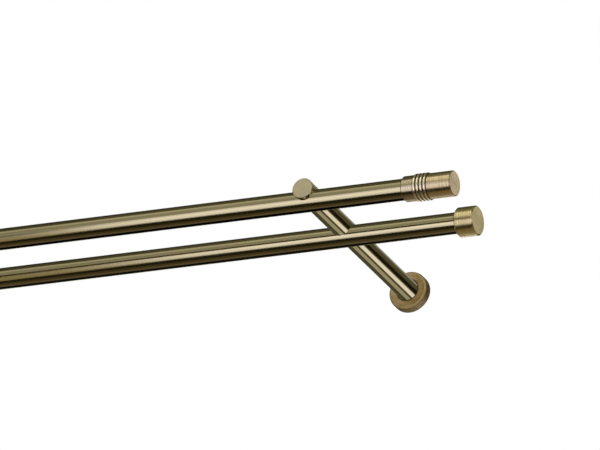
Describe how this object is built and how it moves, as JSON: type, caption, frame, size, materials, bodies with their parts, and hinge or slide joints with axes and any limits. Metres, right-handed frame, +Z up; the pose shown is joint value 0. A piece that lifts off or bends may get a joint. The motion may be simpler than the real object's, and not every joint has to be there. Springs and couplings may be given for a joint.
{
  "type": "double curtain pole",
  "caption": "Double curtain pole: slotted round tubes hung side by side under round wall arms, with ringed finials in front, plain caps behind and rosettes at the wall.",
  "frame": {"origin": "on the wall plane, midway between the two arms, at the height of the arms' axes", "axes": "+X along the tubes to the right as seen from the room, +Y into the wall, +Z up"},
  "size_m": [1.04, 0.2356, 0.0397],
  "materials": {
    "tube_brass": "satin antique brass, drawn tube and round bar",
    "turned_brass": "antique brass, turned, with fine lathe lines",
    "rosette_brass": "antique brass, matt and a little mottled",
    "plate_steel": "zinc plated",
    "screw_steel": "blackened steel"
  },
  "bodies": {
    "root": {"front_tube": "tube_brass", "rear_tube": "tube_brass", "bracket_arm_left": "tube_brass", "bracket_arm_right": "tube_brass", "front_finial_left": "turned_brass", "front_finial_right": "turned_brass", "rear_cap_left": "turned_brass", "rear_cap_right": "turned_brass", "rosette_left": "rosette_brass", "rosette_right": "rosette_brass", "wall_disc_left": "plate_steel", "wall_disc_right": "plate_steel", "tube_screws": "screw_steel", "arm_screws": "screw_steel"}
  },
  "joints": []
}
